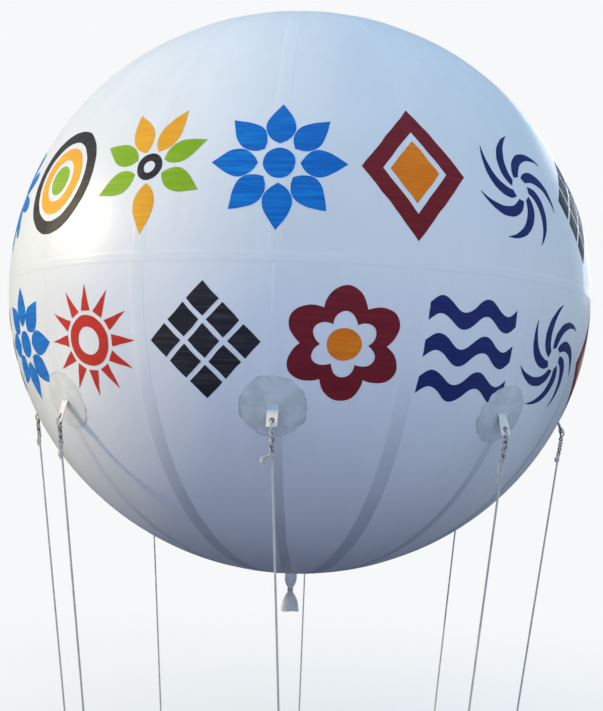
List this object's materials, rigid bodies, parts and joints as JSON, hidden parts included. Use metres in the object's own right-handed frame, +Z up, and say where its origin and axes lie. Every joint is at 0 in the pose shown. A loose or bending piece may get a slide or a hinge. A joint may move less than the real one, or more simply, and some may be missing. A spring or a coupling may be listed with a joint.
{
  "type": "advertising balloon",
  "caption": "Round helium balloon of welded white film gores, with lugs round its lower half and mooring lines tied to them, for showing printed artwork in the air.",
  "frame": {"origin": "centre of the envelope, on the mount that stands for the air that holds the balloon up", "axes": "+Z up, from the filling neck to the crown; -Y out through lug 1; +X to the right of one who faces lug 1"},
  "size_m": [3.0528, 3.0528, 4.2742],
  "materials": {
    "white_film": "glossy white film, slightly blue",
    "patch_film": "double film, a little greyer and duller",
    "rope_fibre": "twisted natural-coloured rope",
    "tie_fibre": "thin cotton cord"
  },
  "bodies": {
    "root": {"upper_gore_01": "white_film", "upper_gore_02": "white_film", "upper_gore_03": "white_film", "upper_gore_04": "white_film", "upper_gore_05": "white_film", "upper_gore_06": "white_film", "upper_gore_07": "white_film", "upper_gore_08": "white_film", "upper_gore_09": "white_film", "upper_gore_10": "white_film", "upper_gore_11": "white_film", "upper_gore_12": "white_film", "upper_gore_13": "white_film", "upper_gore_14": "white_film", "upper_gore_15": "white_film", "upper_gore_16": "white_film", "lower_gore_01": "white_film", "lower_gore_02": "white_film", "lower_gore_03": "white_film", "lower_gore_04": "white_film", "lower_gore_05": "white_film", "lower_gore_06": "white_film", "lower_gore_07": "white_film", "lower_gore_08": "white_film", "lower_gore_09": "white_film", "lower_gore_10": "white_film", "lower_gore_11": "white_film", "lower_gore_12": "white_film", "lower_gore_13": "white_film", "lower_gore_14": "white_film", "lower_gore_15": "white_film", "lower_gore_16": "white_film", "top_cap": "white_film", "bottom_cap": "white_film", "equator_band": "white_film", "filler_neck": "white_film", "lug_1": "patch_film", "lug_2": "patch_film", "lug_3": "patch_film", "lug_4": "patch_film", "lug_5": "patch_film", "lug_6": "patch_film", "lug_7": "patch_film", "lug_8": "patch_film", "line_1": "rope_fibre", "line_2": "rope_fibre", "line_3": "rope_fibre", "line_4": "rope_fibre", "line_5": "rope_fibre", "line_6": "rope_fibre", "line_7": "rope_fibre", "line_8": "rope_fibre", "neck_tie": "tie_fibre"}
  },
  "joints": []
}
